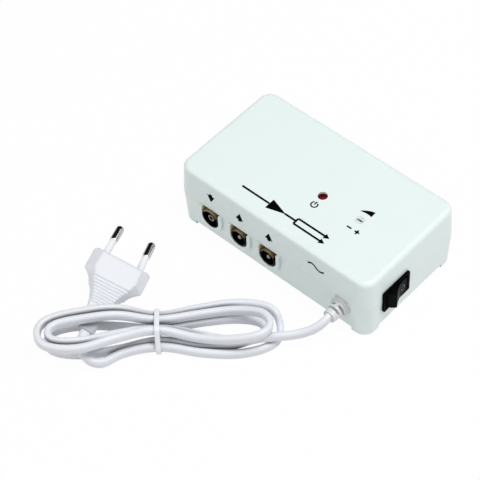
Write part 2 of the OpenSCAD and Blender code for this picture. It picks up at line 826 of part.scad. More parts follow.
module neutral_wire() {
    end = [board_x1 - 2, relief_back[1] + 11.3, board_top];
    color("royalblue") wire(relief_back - [1.6, 0, 0],
        [relief_back + [-1.6, 3, 0], relief_back + [-5.2, 8.3, -1.2], end + [0, 0, 3.4]], end, [1, 0, 0]);
}

// Mains lead

module strain_relief() {
    front = case_w / 2;
    outer = relief_l - relief_flange_t;
    rib = outer / (2 * relief_ribs);
    color("gainsboro") {
        translate([relief_x, -front, relief_z]) rotate([90, 0, 0]) {
            cylinder(r = relief_flange_r, h = relief_flange_t);
            difference() {
                translate([0, 0, relief_flange_t]) cylinder(r1 = relief_r1, r2 = relief_r2, h = outer);
                for (k = [0:relief_ribs - 2], s = [0, 1]) rotate(90 * k + 180 * s)
                    translate([0.9, -relief_r1, relief_flange_t + rib * (1 + 2 * k)])
                        cube([relief_r1, 2 * relief_r1, rib]);
            }
        }
        front_slot(relief_x, relief_z, relief_neck_r, front - relief_in - snug, front + snug,
            split_z - snug);
        translate([relief_x, -front + relief_in, relief_z]) rotate([-90, 0, 0])
            cylinder(r = relief_flange_r, h = relief_flange_t);
    }
}

module lead_stretch() { color("lightgray") sweep(lead_path(), lead_w, lead_t, 8); }
module lead_hank() { color("lightgray") sweep(hank_path, lead_w, lead_t, 6); }
module plug_stretch() {
    color("lightgray") sweep(plug_path(), lead_w, lead_t, 8, plug_turned([0, 1, 0]), [0, 0, 1]);
}

// Tie round the runs at the waist: a band round the points where they enter and leave it.
tie_points = [for (i = [0:hank_runs - 1], s = [-1, 1])
    let (k = 1 + hank_rings * i,
         p = hank_path[k] + unit(hank_path[k + s] - hank_path[k]) * tie_w / 2)
    [(p[1] - hank_pos[1]) * cos(hank_dir) - (p[0] - hank_pos[0]) * sin(hank_dir), p[2]]];
module tie_outline(grow) {
    hull() for (p = tie_points, s = [-1, 1])
        translate([p[0], p[1] + s * (lead_w - lead_t) / 2]) circle(d = lead_t + 2 * grow, $fn = 24);
}

module hank_tie() {
    color("white") translate([hank_pos[0], hank_pos[1], 0]) rotate(hank_dir) rotate([90, 0, 90])
        translate([0, 0, -tie_w / 2]) linear_extrude(tie_w) difference() {
            tie_outline(tie_gap + tie_t);
            tie_outline(tie_gap);
        }
}

// Plug

module at_plug() {
    translate(plug_pos) rotate(plug_turn) children();
}

// Place of a pin, leaning in towards its fellow.
module at_pin(i) {
    s = i == 1 ? 1 : -1;
    at_plug() translate([0, s * pin_pitch / 2, 0]) rotate(-s * pin_lean) rotate([0, 90, 0]) children();
}

// Rounded section of the grip and neck, across the plug's own X.
function plug_ring(x, w, t, r) = [for (p = ring(w, t, r, 0)) [x, p[0], p[1]]];

// Value part of the way between the two of a pair.
function mix(pair, f) = pair[0] + (pair[1] - pair[0]) * f;

module plug_body() {
    flat = plug_w / 2 - plug_shoulder;
    half = plug_t / 2;
    rib_pitch = (plug_grip_l - 3) / ribs;
    color("gainsboro") difference() {
        at_plug() {
            intersection() {
                rotate([90, 0, -90]) linear_extrude(plug_face_l) polygon([
                    [plug_w / 2, 0], [flat, half], [-flat, half],
                    [-plug_w / 2, 0], [-flat, -half], [flat, -half]
                ]);
                rotate([90, 0, 0]) linear_extrude(plug_w + 2, center = true) polygon([
                    [0, plug_rim / 2], [-plug_bevel, half], [-2 * plug_face_l, half],
                    [-2 * plug_face_l, -half], [-plug_bevel, -half], [0, -plug_rim / 2]
                ]);
            }
            loft([for (s = plug_sections) plug_ring(s[0], s[1], s[2], plug_round)]);
            for (k = [0:ribs - 1]) let (f = k / (ribs - 1))
                translate([-plug_face_l - 2 - k * rib_pitch, 0, 0])
                    cube([rib_pitch / 2, mix(rib_w, f), mix(rib_t, f)], center = true);
        }
        for (i = [1, 2]) at_pin(i) translate([0, 0, -pin_root])
            cylinder(r = plug_core_r + snug, h = 2 * pin_root);
    }
}

module plug_pin(i) {
    color("silver") at_pin(i) {
        translate([0, 0, -pin_root]) cylinder(r = plug_core_r, h = pin_root + sleeve_l);
        translate([0, 0, sleeve_l]) cylinder(r = plug_pin_r, h = pin_l - sleeve_l - 1);
        translate([0, 0, pin_l - 1]) cylinder(r1 = plug_pin_r, r2 = plug_pin_r - 0.9, h = 1);
    }
}

module pin_sleeve(i) {
    foot = 0.3;
    color("white") at_pin(i) translate([0, 0, foot]) difference() {
        cylinder(r = sleeve_r, h = sleeve_l - foot);
        translate([0, 0, -1]) cylinder(r = plug_core_r + snug, h = sleeve_l + 2);
    }
}

upper_shell();
lower_shell();
circuit_board();
for (i = [1:4]) case_screw(i);
for (i = [1:4]) board_screw(i);
socket_shell(0, input_bore / 2 + shell_t);  // input_shell
socket_insulator(0, input_bore / 2 + shell_t);  // input_insulator
input_contact();
for (i = [1:2]) socket_shell(i, output_d / 2);
for (i = [1:2]) socket_insulator(i, output_d / 2);
for (i = [1:2]) output_pin(i);
power_lamp();
lamp_leads();
gain_pot();
gain_shaft();
switch_frame();
switch_rocker();
for (i = [1:2]) switch_blade(i);
transformer_core();
transformer_bobbin();
transformer_winding();
reservoir_capacitor();
filter_capacitor();
voltage_regulator();
splitter_core();
for (i = [1:4]) rectifier_diode(i);
for (i = [1:2]) amplifier_transistor(i);
for (i = [1:2]) disc_capacitor(i);
live_wire();
switched_wire();
neutral_wire();
strain_relief();
lead_stretch();
lead_hank();
plug_stretch();
hank_tie();
plug_body();
for (i = [1:2]) plug_pin(i);
for (i = [1:2]) pin_sleeve(i);
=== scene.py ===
import math
import bpy
import numpy as np
from mathutils import Matrix, Vector


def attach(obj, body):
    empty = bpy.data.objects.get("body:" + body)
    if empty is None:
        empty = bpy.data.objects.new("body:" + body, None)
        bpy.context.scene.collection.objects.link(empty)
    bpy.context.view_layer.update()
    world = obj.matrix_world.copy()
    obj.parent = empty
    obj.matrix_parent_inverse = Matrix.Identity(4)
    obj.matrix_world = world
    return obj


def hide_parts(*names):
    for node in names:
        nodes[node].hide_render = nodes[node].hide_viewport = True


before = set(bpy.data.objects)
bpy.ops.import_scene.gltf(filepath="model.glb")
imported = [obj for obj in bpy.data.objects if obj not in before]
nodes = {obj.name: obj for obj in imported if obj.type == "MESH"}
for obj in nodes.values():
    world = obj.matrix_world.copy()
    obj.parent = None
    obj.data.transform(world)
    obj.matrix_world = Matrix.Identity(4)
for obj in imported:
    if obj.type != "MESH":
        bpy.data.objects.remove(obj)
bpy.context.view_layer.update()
mm = 0.001
print("frame loaded:", len(nodes), "nodes")


# camera: where it stands round the part, in degrees and millimetres, and the picture that it takes
shot = {"azimuth": 44.87, "elevation": 50.9, "roll": -3.47, "distance": 884.64, "offset": (-38.32, -2.36),
        "focalPixels": 1758.5, "picture": 480, "sensor": 36.0, "clip": (0.05, 20)}


def cameraAxes(azimuth, elevation, roll):
    # right, up and back of a camera that looks at the origin from above, rolled about its own axis
    a, e, r = (math.radians(v) for v in (azimuth, elevation, roll))
    back = np.array([math.sin(a) * math.cos(e), -math.cos(a) * math.cos(e), math.sin(e)])
    right = np.array([math.cos(a), math.sin(a), 0.0])
    up = np.cross(back, right)
    return np.array([right * math.cos(r) + up * math.sin(r), up * math.cos(r) - right * math.sin(r), back])


def addCamera(spec):
    axes = cameraAxes(spec["azimuth"], spec["elevation"], spec["roll"])
    place = axes.T @ np.array([*spec["offset"], spec["distance"]]) * mm
    optics = bpy.data.cameras.new("photoCamera")
    optics.sensor_width = spec["sensor"]
    optics.lens = spec["focalPixels"] / spec["picture"] * spec["sensor"]
    optics.clip_start, optics.clip_end = spec["clip"]
    camera = bpy.data.objects.new("photoCamera", optics)
    camera.matrix_world = Matrix.Translation(Vector(place)) @ Matrix(axes.T.tolist()).to_4x4()
    bpy.context.scene.collection.objects.link(camera)
    bpy.context.scene.camera = camera


addCamera(shot)
print("camera placed")


class Wire:
    # a node's output that can be used in sums
    def __init__(self, tree, socket):
        self.tree, self.socket = tree, socket

    def sum(self, operation, first, second=None):
        node = self.tree.nodes.new("ShaderNodeMath")
        node.operation = operation
        for spot, value in zip(node.inputs, (first, second)):
            if isinstance(value, Wire):
                self.tree.links.new(value.socket, spot)
            elif value is not None:
                spot.default_value = value
        return Wire(self.tree, node.outputs[0])

    def __add__(self, other):
        return self.sum("ADD", self, other)

    def __radd__(self, other):
        return self.sum("ADD", other, self)

    def __sub__(self, other):
        return self.sum("SUBTRACT", self, other)

    def __rsub__(self, other):
        return self.sum("SUBTRACT", other, self)

    def __mul__(self, other):
        return self.sum("MULTIPLY", self, other)

    def __rmul__(self, other):
        return self.sum("MULTIPLY", other, self)

    def __truediv__(self, other):
        return self.sum("DIVIDE", self, other)

    def __pow__(self, other):
        return self.sum("POWER", self, other)

    def __abs__(self):
        return self.sum("ABSOLUTE", self)

    def least(self, other):
        return self.sum("MINIMUM", self, other)

    def most(self, other):
        return self.sum("MAXIMUM", self, other)

    def below(self, other):
        return self.sum("LESS_THAN", self, other)

    def nearest(self):
        return self.sum("ROUND", self)


class Tree:
    # a node tree, and the one way of adding any other node; atN names a socket by its number
    def __init__(self, tree):
        self.tree = tree

    def put(self, spot, value):
        if isinstance(value, Wire):
            self.tree.links.new(value.socket, spot)
        elif spot.type == "RGBA":
            spot.default_value = (*value[:3], 1)
        else:
            spot.default_value = value

    def node(self, kind, settings=None, out=0, **values):
        node = self.tree.nodes.new("ShaderNode" + kind)
        for name, value in (settings or {}).items():
            setattr(node, name, value)
        for name, value in values.items():
            key = int(name[2:]) if name.startswith("at") else name.replace("_", " ")
            self.put(node.inputs[key], value)
        return Wire(self.tree, node.outputs[out])

    def seenDirectly(self):
        # 1 for rays that the camera, a mirror or glass sends
        kinds = ("Is Camera Ray", "Is Glossy Ray", "Is Transmission Ray")
        rays = [self.node("LightPath", out=kind) for kind in kinds]
        return (rays[0] + rays[1] + rays[2]).least(1.0)


class Finish(Tree):
    # a material with its Principled shader
    def __init__(self, name, **values):
        self.material = bpy.data.materials.new(name)
        self.material.use_nodes = True
        super().__init__(self.material.node_tree)
        self.shader = self.tree.nodes["Principled BSDF"]
        self.set(**values)

    def set(self, **values):
        for name, value in values.items():
            self.put(self.shader.inputs[name.replace("_", " ")], value)

    def place(self):
        # Object coordinates, and their three parts in millimetres
        coords = self.node("TexCoord", out=3)
        parts = [self.node("SeparateXYZ", out=k, at0=coords) / mm for k in range(3)]
        return coords, *parts

    def noise(self, coords, scale, detail=2.0, roughness=0.5):
        return self.node("TexNoise", Vector=coords, Scale=scale, Detail=detail, Roughness=roughness)

    def mix(self, amount, first, second):
        return self.node("Mix", {"data_type": "RGBA"}, out=2, at0=amount, at6=first, at7=second)

    def bump(self, height, strength, depth):
        self.set(Normal=self.node("Bump", Height=height, Strength=strength, Distance=depth))


# how the finishes look close up: the fineness of each pattern, and how far it shows
plasticLook = {"cloud": 45, "grain": 2600, "smear": 160, "shades": (0.98, 1.015), "smearSheen": 0.16,
               "grainSheen": 0.06, "bump": (0.35, 0.00006)}
metalLook = {"drawn": 60, "stain": 400, "shades": (0.9, 1.06), "drawnSheen": 0.16, "stainSheen": 0.08,
             "bump": (0.12, 0.00003)}
castLook = {"mottle": 900, "shades": (0.82, 1.15), "metal": 0.4, "rough": 0.45, "mottleSheen": 0.2,
            "bump": (0.2, 0.00004)}
glassLook = {"cloud": 700, "cloudShow": 0.3, "rough": 0.10, "cloudSheen": 0.08}
shaftLook = {"cloud": 900, "rough": 0.4, "cloudSheen": 0.2, "bump": (0.2, 0.00004)}
dull = {"Specular_IOR_Level": 0.04}


def tinted(shade, k):
    return tuple(min(1.0, c * k) for c in shade)


def mottled(finish, amount, shade, span):
    # a shade that wanders between two tints of itself
    return finish.mix(amount, tinted(shade, span[0]), tinted(shade, span[1]))


def fromAxis(x, y, at):
    # distance from an upright axis
    return ((x - at[0]) ** 2 + (y - at[1]) ** 2) ** 0.5


def caseTints(finish, body, x, y, z, case):
    # on the shells: the parting line, painted light from the lens round the rim of its hole, and painted
    # light from the sockets' brass on the walls of their notches
    seam, lamp, row = case["seam"], case["lamp"], case["sockets"]
    gap = 1 - (abs(z - seam["z"]) / seam["width"]).least(1.0)
    body = finish.mix(gap * seam["depth"], body, seam["shade"])
    # painted light: the shell round the lamp's hole is tinted warm, for the lens's light falling on it
    rim = (1 - (fromAxis(x, y, lamp["at"]) - lamp["radius"]) / lamp["paintedLensLightReach"]).least(1.0).most(0.0)
    body = finish.mix(rim * lamp["rimShow"], body, lamp["rim"])
    step = (x - row["first"]) / row["pitch"]
    aside = (step - step.nearest().most(0.0).least(row["count"] - 1)) * row["pitch"]
    # painted light: the notch walls are tinted warm, as if lit by light bounced off the brass socket blocks
    upper = z.below(seam["z"] + row["paintedBrassLightOver"]) - z.below(row["paintedBrassLightFrom"])
    notch = abs(aside).below(row["notch"]) * upper * y.below(row["front"])
    return finish.mix(notch, body, row["paintedBrassLight"]), gap


def moulded(name, shade, rough, grain, case=None, creaseShadeColour=None, **more):
    # moulded plastic: faint clouds in the colour, fine spark-eroded grain in the sheen and the surface
    look = plasticLook
    finish = Finish(name, **more)
    coords, x, y, z = finish.place()
    cloud = finish.noise(coords, look["cloud"], detail=3)
    fine = finish.noise(coords, look["grain"])
    smear = finish.noise(coords, look["smear"], detail=4, roughness=0.6)
    body = mottled(finish, cloud, shade, look["shades"])
    height = fine * grain
    if case:
        body, gap = caseTints(finish, body, x, y, z, case)
        height = height - gap * case["seam"]["sunk"]
    # painted shade: the colour darkens by the crease-shade attribute, where runs of the lead lie against
    # each other or over the plug
    if creaseShadeColour:
        paintedCreaseShade = finish.node("Attribute", {"attribute_name": "paintedCreaseShade"}, out=2)
        body = finish.mix(paintedCreaseShade, body, creaseShadeColour)
    sheen = rough + (smear - 0.5) * look["smearSheen"] + (fine - 0.5) * look["grainSheen"]
    finish.set(Base_Color=body, Roughness=sheen)
    finish.bump(height, *look["bump"])
    return finish.material


def plated(name, shade, rough, drawnAlong, **more):
    # plated metal: fine drawn lines and faint stains
    look = metalLook
    finish = Finish(name, Metallic=1.0, **more)
    coords = finish.node("TexCoord", out=3)
    stretched = finish.node("Mapping", Vector=coords, Scale=drawnAlong)
    drawn = finish.noise(stretched, look["drawn"], detail=4, roughness=0.7)
    stain = finish.noise(coords, look["stain"], detail=3)
    sheen = rough + (drawn - 0.5) * look["drawnSheen"] + (stain - 0.5) * look["stainSheen"]
    finish.set(Base_Color=mottled(finish, stain, shade, look["shades"]), Roughness=sheen)
    finish.bump(drawn, *look["bump"])
    return finish.material


def dieCast(name, spec):
    # die-cast socket blocks: mottled warm skin above, with painted shade: dark in the bore of each socket
    # and under its brow, and darker towards the right of each socket
    look = castLook
    finish = Finish(name, **dull)
    coords, x, y, z = finish.place()
    step = (x - spec["first"]) / spec["pitch"]
    aside = (step - step.nearest()) * spec["pitch"]
    rise = z - spec["height"]
    isInput = step.below(0.5)  # the first of the row
    # painted shade: the skin is painted dark inside the bore and, below the brow, out to the flange
    reach = (spec["bore"] + isInput * spec["inputMore"]
             + rise.below(spec["brow"]) * (spec["flange"] - spec["bore"]))
    inside = ((aside * aside + rise * rise) ** 0.5).below(reach)
    mottle = finish.noise(coords, look["mottle"], detail=4, roughness=0.6)
    skin = mottled(finish, mottle, spec["shade"], look["shades"])
    # painted shade: darker towards the right end of each socket, as under the notch's wall
    paintedShadeRight = ((aside - spec["paintedShadeSpan"][0]) / spec["paintedShadeSpan"][1]).most(0.0).least(1.0)
    skin = finish.mix(paintedShadeRight, skin, tinted(spec["shade"], spec["paintedShadeTint"]))
    finish.set(Base_Color=finish.mix(inside, skin, spec["dark"]), Metallic=(1 - inside) * look["metal"],
               Roughness=look["rough"] + (mottle - 0.5) * look["mottleSheen"])
    finish.bump(mottle, *look["bump"])
    return finish.material


def unlitGlass(name, spec):
    # unlit lamp: its red on the near side, with painted shade falling to almost black towards the far side,
    # and a faint cloud
    look = glassLook
    finish = Finish(name, Specular_IOR_Level=0.2)
    coords, x, y, z = finish.place()
    # painted shade: the lens darkens across its face towards the side that lies in the hole's shadow
    deep = ((y - spec["at"][1]) - (x - spec["at"][0])) / spec["radius"] + spec["paintedShadeFrom"]
    cloud = finish.noise(coords, look["cloud"])
    amount = deep + (cloud - 0.5) * look["cloudShow"]
    finish.set(Base_Color=finish.mix(amount, spec["near"], spec["far"]),
               Roughness=look["rough"] + cloud * look["cloudSheen"])
    return finish.material


def slotted(name, spec):
    # white shaft end: painted shade, grey in the slot and darker towards the middle of the end
    look = shaftLook
    finish = Finish(name)
    coords, x, y, z = finish.place()
    # painted shade: grey in the slot, and on the end face darker towards the middle
    near = (1 - fromAxis(x, y, spec["at"]) / spec["paintedSlotShadeReach"]).most(0.0)
    onFace, inSlot = spec["paintedSlotShadeShow"]
    paintedSlotShade = near * onFace + near ** 0.5 * z.below(spec["slotTop"]) * inSlot
    cloud = finish.noise(coords, look["cloud"], detail=3)
    finish.set(Base_Color=finish.mix(paintedSlotShade, spec["shade"], spec["paintedSlotShade"]),
               Roughness=look["rough"] + (cloud - 0.5) * look["cloudSheen"])
    finish.bump(cloud, *look["bump"])
    return finish.material


# finishes that show, with the places in millimetres that they follow
# gain shaft: the grey colour, its reach and its strength give painted shade in the slot and round the middle
# of the end
gainShaft = {"at": (30.8, -3.6), "slotTop": 39.05, "shade": (0.80, 0.85, 0.85),
             "paintedSlotShade": (0.03, 0.033, 0.036), "paintedSlotShadeReach": 1.45, "paintedSlotShadeShow": (0.55, 0.45)}
seamLine = {"z": 21.0, "width": 0.2, "depth": 0.25, "sunk": 2.0, "shade": (0.45, 0.49, 0.48)}
# socket row: the dark colour is painted shade in each bore and under its brow, and the span and tint after
# it give painted shade towards the right of each socket
socketRow = {"count": 3, "first": -38.8, "pitch": 19.0, "height": 15.2, "bore": 4.6, "inputMore": 0.25,
             "flange": 6.3, "brow": 2.6, "shade": (0.31, 0.23, 0.13), "dark": (0.004, 0.003, 0.003),
             "paintedShadeSpan": (0.5, 5.0), "paintedShadeTint": 0.25, "notch": 5.62, "front": -25.0,
             # painted light from the brass on the notch walls: where it starts and ends in height, and its
             # colour
             "paintedBrassLightFrom": 16.2, "paintedBrassLightOver": 0.1, "paintedBrassLight": (0.93, 0.88, 0.60)}
# lamp: near is the lens's red and far its painted shade towards almost black; the warm colour and its reach
# round the hole are painted light from the lens
lampGlass = {"at": (7.5, -3.6), "radius": 2.4, "near": (0.14, 0.008, 0.018), "far": (0.010, 0.0003, 0.0006),
             "paintedShadeFrom": 0.45, "paintedLensLightReach": 0.8, "rim": (1.0, 0.80, 0.70), "rimShow": 0.8}
caseMarks = {"seam": seamLine, "lamp": lampGlass, "sockets": socketRow}
shellWhite = moulded("shellWhite", (0.75, 0.84, 0.826), 0.34, 0.25, caseMarks)
# the lead and the plug take painted shade in their creases, from the attribute that their pieces carry
leadWhite = moulded("leadWhite", (0.74, 0.757, 0.805), 0.42, 0.3, creaseShadeColour=(0.035, 0.037, 0.043))
plugWhite = moulded("plugWhite", (0.76, 0.775, 0.82), 0.4, 0.06, creaseShadeColour=(0.25, 0.26, 0.28))
reliefWhite = moulded("reliefWhite", (0.65, 0.655, 0.665), 0.42, 0.25)
tieWhite = moulded("tieWhite", (0.82, 0.83, 0.88), 0.38, 0.15)
dustGrey = moulded("dustGrey", (0.64, 0.70, 0.70), 0.45, 0.1)
sleeveWhite = moulded("sleeveWhite", (0.82, 0.83, 0.87), 0.36, 0.02)
shaftWhite = slotted("shaftWhite", gainShaft)
switchBlack = moulded("switchBlack", (0.002, 0.002, 0.0025), 0.5, 0.6, Specular_IOR_Level=0.008)
rockerBlack = moulded("rockerBlack", (0.0025, 0.0025, 0.003), 0.42, 0.6, Specular_IOR_Level=0.02)
insulatorBlack = moulded("insulatorBlack", (0.006, 0.006, 0.006), 0.5, 0.5, **dull)
inkBlack = moulded("inkBlack", (0.002, 0.002, 0.002), 0.6, 0.4, Specular_IOR_Level=0.01)
inkGrey = moulded("inkGrey", (0.17, 0.17, 0.18), 0.5, 0.4, **dull)
pinNickel = plated("pinNickel", (0.78, 0.77, 0.75), 0.12, (6, 6, 1), Specular_Tint=(0.04, 0.035, 0.03))
screwZinc = plated("screwZinc", (0.66, 0.67, 0.7), 0.32, (4, 4, 4))
contactBrass = plated("contactBrass", (0.22, 0.21, 0.19), 0.3, (6, 1, 6))
socketPin = plated("socketPin", (0.21, 0.195, 0.185), 0.3, (6, 1, 6))
socketCast = dieCast("socketCast", socketRow)
lampRed = unlitGlass("lampRed", lampGlass)

# finishes inside the case
boardBrown = moulded("boardBrown", (0.34, 0.19, 0.08), 0.55, 0.8)
potGrey = moulded("potGrey", (0.05, 0.06, 0.07), 0.5, 0.6)
coreSteel = plated("coreSteel", (0.16, 0.16, 0.17), 0.45, (1, 90, 1))
bobbinCream = moulded("bobbinCream", (0.75, 0.70, 0.55), 0.45, 0.5)
tapeYellow = moulded("tapeYellow", (0.62, 0.46, 0.10), 0.3, 0.3)
canBlue = moulded("canBlue", (0.012, 0.018, 0.09), 0.3, 0.3)
ferriteGrey = moulded("ferriteGrey", (0.045, 0.045, 0.046), 0.6, 0.9)
discOrange = moulded("discOrange", (0.55, 0.20, 0.03), 0.4, 0.5)
wireBrown = moulded("wireBrown", (0.10, 0.035, 0.012), 0.4, 0.4)
wireBlue = moulded("wireBlue", (0.012, 0.06, 0.32), 0.4, 0.4)

# finish of each CAD node that stays, by its name without its number
dressing = {
    "upper_shell": shellWhite, "lower_shell": shellWhite, "circuit_board": boardBrown,
    "case_screw": screwZinc, "board_screw": screwZinc, "input_shell": socketCast, "output_shell": socketCast,
    "input_insulator": insulatorBlack, "output_insulator": insulatorBlack, "input_contact": contactBrass,
    "output_pin": socketPin, "lamp_leads": screwZinc, "gain_pot": potGrey, "gain_shaft": shaftWhite,
    "switch_frame": switchBlack, "switch_rocker": rockerBlack, "switch_blade": contactBrass,
    "transformer_core": coreSteel, "transformer_bobbin": bobbinCream, "transformer_winding": tapeYellow,
    "reservoir_capacitor": canBlue, "filter_capacitor": canBlue, "voltage_regulator": insulatorBlack,
    "splitter_core": ferriteGrey, "rectifier_diode": insulatorBlack, "amplifier_transistor": insulatorBlack,
    "disc_capacitor": discOrange, "live_wire": wireBrown, "switched_wire": wireBrown,
    "neutral_wire": wireBlue, "strain_relief": reliefWhite,
}
for name, node in nodes.items():
    family = name.rstrip("0123456789").rstrip("_")
    if family in dressing:
        node.data.materials.clear()
        node.data.materials.append(dressing[family])
print("finishes on the CAD nodes")


# surfaces worked out as grids of points in millimetres

def unit(v):
    return v / np.linalg.norm(v, axis=-1, keepdims=True)


def cosSin(degrees):
    return math.cos(math.radians(degrees)), math.sin(math.radians(degrees))


def fullTurn(count):
    # angles of evenly spaced points on a circle
    return 2 * np.pi * np.arange(count) / count


def quarterTurn(count):
    # angles from a dome's edge towards its pole, short of it so that the last ring keeps a size
    return np.radians(np.linspace(0, 88, count))


def revolved(at, r, z, a):
    # radii and heights carried round an upright axis
    return np.stack([at[0] + r * np.cos(a), at[1] + r * np.sin(a), z + 0 * a], -1)


def gridFaces(rows, cols, ringed):
    # quads between neighbouring rows; ringed also joins the last row to the first
    last = rows if ringed else rows - 1
    r, c = np.meshgrid(np.arange(last), np.arange(cols), indexing="ij")
    below, beside = (r + 1) % rows, (c + 1) % cols
    quads = [r * cols + c, r * cols + beside, below * cols + beside, below * cols + c]
    return np.stack(quads, -1).reshape(-1, 4)


def fan(centre, ring):
    # triangles from a point to a ring
    return np.stack([np.full(len(ring), centre), ring, np.roll(ring, -1)], -1)


def addPiece(name, rings, finish, body, ringed=False, smooth=True, paintedCreaseShade=None):
    # a closed skin over rows of points, ended by a fan at each end unless it runs in a ring
    rows, cols = rings.shape[:2]
    points = rings.reshape(-1, 3)
    quads = gridFaces(rows, cols, ringed)
    ends = np.empty((0, 3), int)
    if not ringed:
        first, last = np.arange(cols), np.arange(cols) + (rows - 1) * cols
        points = np.vstack([points, rings[0].mean(0), rings[-1].mean(0)])
        ends = np.vstack([fan(rows * cols, first[::-1]), fan(rows * cols + 1, last)])
    a, b, c, d = (points[quads[:, k]] for k in range(4))
    volume = np.einsum("ij,ij->i", a, np.cross(b, c) + np.cross(c, d)).sum()
    turn = -1 if volume < 0 else 1  # faces point outwards
    mesh = bpy.data.meshes.new(name)
    mesh.from_pydata((points * mm).tolist(), [], quads[:, ::turn].tolist() + ends[:, ::turn].tolist())
    mesh.polygons.foreach_set("use_smooth", np.full(len(mesh.polygons), smooth))
    mesh.materials.append(finish)
    # painted shade: each point's crease shade goes to the mesh as an attribute
    if paintedCreaseShade is not None:
        values = np.zeros(len(points))
        values[:paintedCreaseShade.size] = paintedCreaseShade.ravel()
        mesh.attributes.new("paintedCreaseShade", "FLOAT", "POINT").data.foreach_set("value", values)
    mesh.update()
    piece = bpy.data.objects.new(name, mesh)
    bpy.context.scene.collection.objects.link(piece)
    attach(piece, body)
    return piece


def carry(path, ups, profile):
    # a profile carried along a path: its first number goes across, its second along up
    ahead = unit(np.gradient(path, axis=0))
    across = unit(np.cross(ahead, ups))
    rise = np.cross(across, ahead)
    return path[:, None] + across[:, None] * profile[..., :1] + rise[:, None] * profile[..., 1:]


def threaded(knots, parts):
    # cubic through every knot, with slopes weighed by the spans on both sides
    span = np.linalg.norm(np.diff(knots, axis=0), axis=1)[:, None]
    slope = np.diff(knots, axis=0) / span
    inner = (slope[:-1] * span[1:] + slope[1:] * span[:-1]) / (span[:-1] + span[1:])
    tangent = np.vstack([slope[:1], inner, slope[-1:]])
    t = (np.arange(parts) / parts)[None, :, None]
    a, b, s = knots[:-1, None], knots[1:, None], span[:, None]
    curve = (a * (2 * t**3 - 3 * t**2 + 1) + b * (3 * t**2 - 2 * t**3)
             + s * (tangent[:-1, None] * (t**3 - 2 * t**2 + t) + tangent[1:, None] * (t**3 - t**2)))
    return np.vstack([curve.reshape(-1, 3), knots[-1:]])


def evenly(path, step):
    # the same path, with its points a step apart
    run = np.concatenate([[0], np.cumsum(np.linalg.norm(np.diff(path, axis=0), axis=1))])
    at = np.linspace(0, run[-1], int(round(run[-1] / step)) + 1)
    return np.stack([np.interp(at, run, path[:, k]) for k in range(3)], -1)


def relaxed(path, reach):
    # running mean that leaves both ends where they are
    window = np.hanning(2 * reach + 3)[1:-1]
    window /= window.sum()
    before = 2 * path[0] - path[1:reach + 1][::-1]
    after = 2 * path[-1] - path[-reach - 1:-1][::-1]
    full = np.vstack([before, path, after])
    return np.stack([np.convolve(full[:, k], window, "valid") for k in range(3)], -1)


def creaseShadeAmount(rings, path, reach, own=None):
    # painted shade in the creases: how closely each point lies against a run of the lead, 1 on it, falling
    # to 0 at the reach
    points = rings.reshape(-1, 3)
    square = (points ** 2).sum(1)[:, None] + (path ** 2).sum(1)[None] - 2 * points @ path.T
    if own is not None:
        rows = np.repeat(np.arange(len(rings)), rings.shape[1])
        square[np.abs(rows[:, None] - np.arange(len(path))[None]) < own] = np.inf
    gap = np.sqrt(np.maximum(square.min(1), 0)) - reach[0]
    return np.clip(1 - gap / reach[1], 0, 1) ** reach[2]


# mains lead, in millimetres: the same route as the solids
leadSpec = {"width": 5.4, "thick": 3.4, "tip": (45.2, -43.3, 15.2), "inside": 1, "straight": 2,
            "route": [(44.2, -49.5, 13), (40.6, -54.2, 10.4), (36, -59.5, 9.2), (31.2, -64.6, 9.2),
                      (26.8, -69.2, 9.2), (22.4, -73.8, 8.4), (17.6, -78.5, 5.2), (12.7, -82.9, 3.6)],
            "toPlug": [(-23.2, -128, 5), (-27.6, -132, 6.8), (-32.8, -132.4, 8.8), (-35.4, -129.4, 10.6)],
            "knotParts": 8, "pointStep": 1.25, "relax": 4, "corners": 24, "ownRun": 14,
            # reach of the painted shade in the creases between runs
            "paintedCreaseShade": (1.8, 2.6, 1.0)}
hankSpec = {"at": (-15.9, -97.8), "turned": 44.3, "long": 50.4, "wide": 6.8, "step": 4.8, "changeover": 2.5,
            "drawn": 5.8, "drawnLength": 22.0, "squeeze": 0.19, "lean": 0.78, "first": 5, "last": 79,
            "rings": 12, "bed": 2.8, "layer": 8.8, "arch": 15.4, "over": 19.6, "lift": 1.25, "press": 0.9}
plugSpec = {"at": (-55.8, -81.2, 10.2), "turned": (21, 2, 112), "length": 46.0}


def hankHeights(spec):
    # half turns along the hank and the height there, as the lead climbs over the runs that it crosses
    bed, layer, arch, over = spec["bed"], spec["layer"], spec["arch"], spec["over"]
    return np.array([(0, bed), (2.3, bed), (2.5, 8.5), (2.7, over - 0.4), (3, over), (3.38, over),
                     (3.53, layer + 1), (3.62, layer + 0.6), (3.86, arch), (4.26, arch), (4.43, layer),
                     (4.6, over - 0.4), (5, over), (5.39, over), (5.53, 8), (5.68, layer), (5.82, layer),
                     (6.04, bed), (6.5, bed), (6.6, bed + 1)])


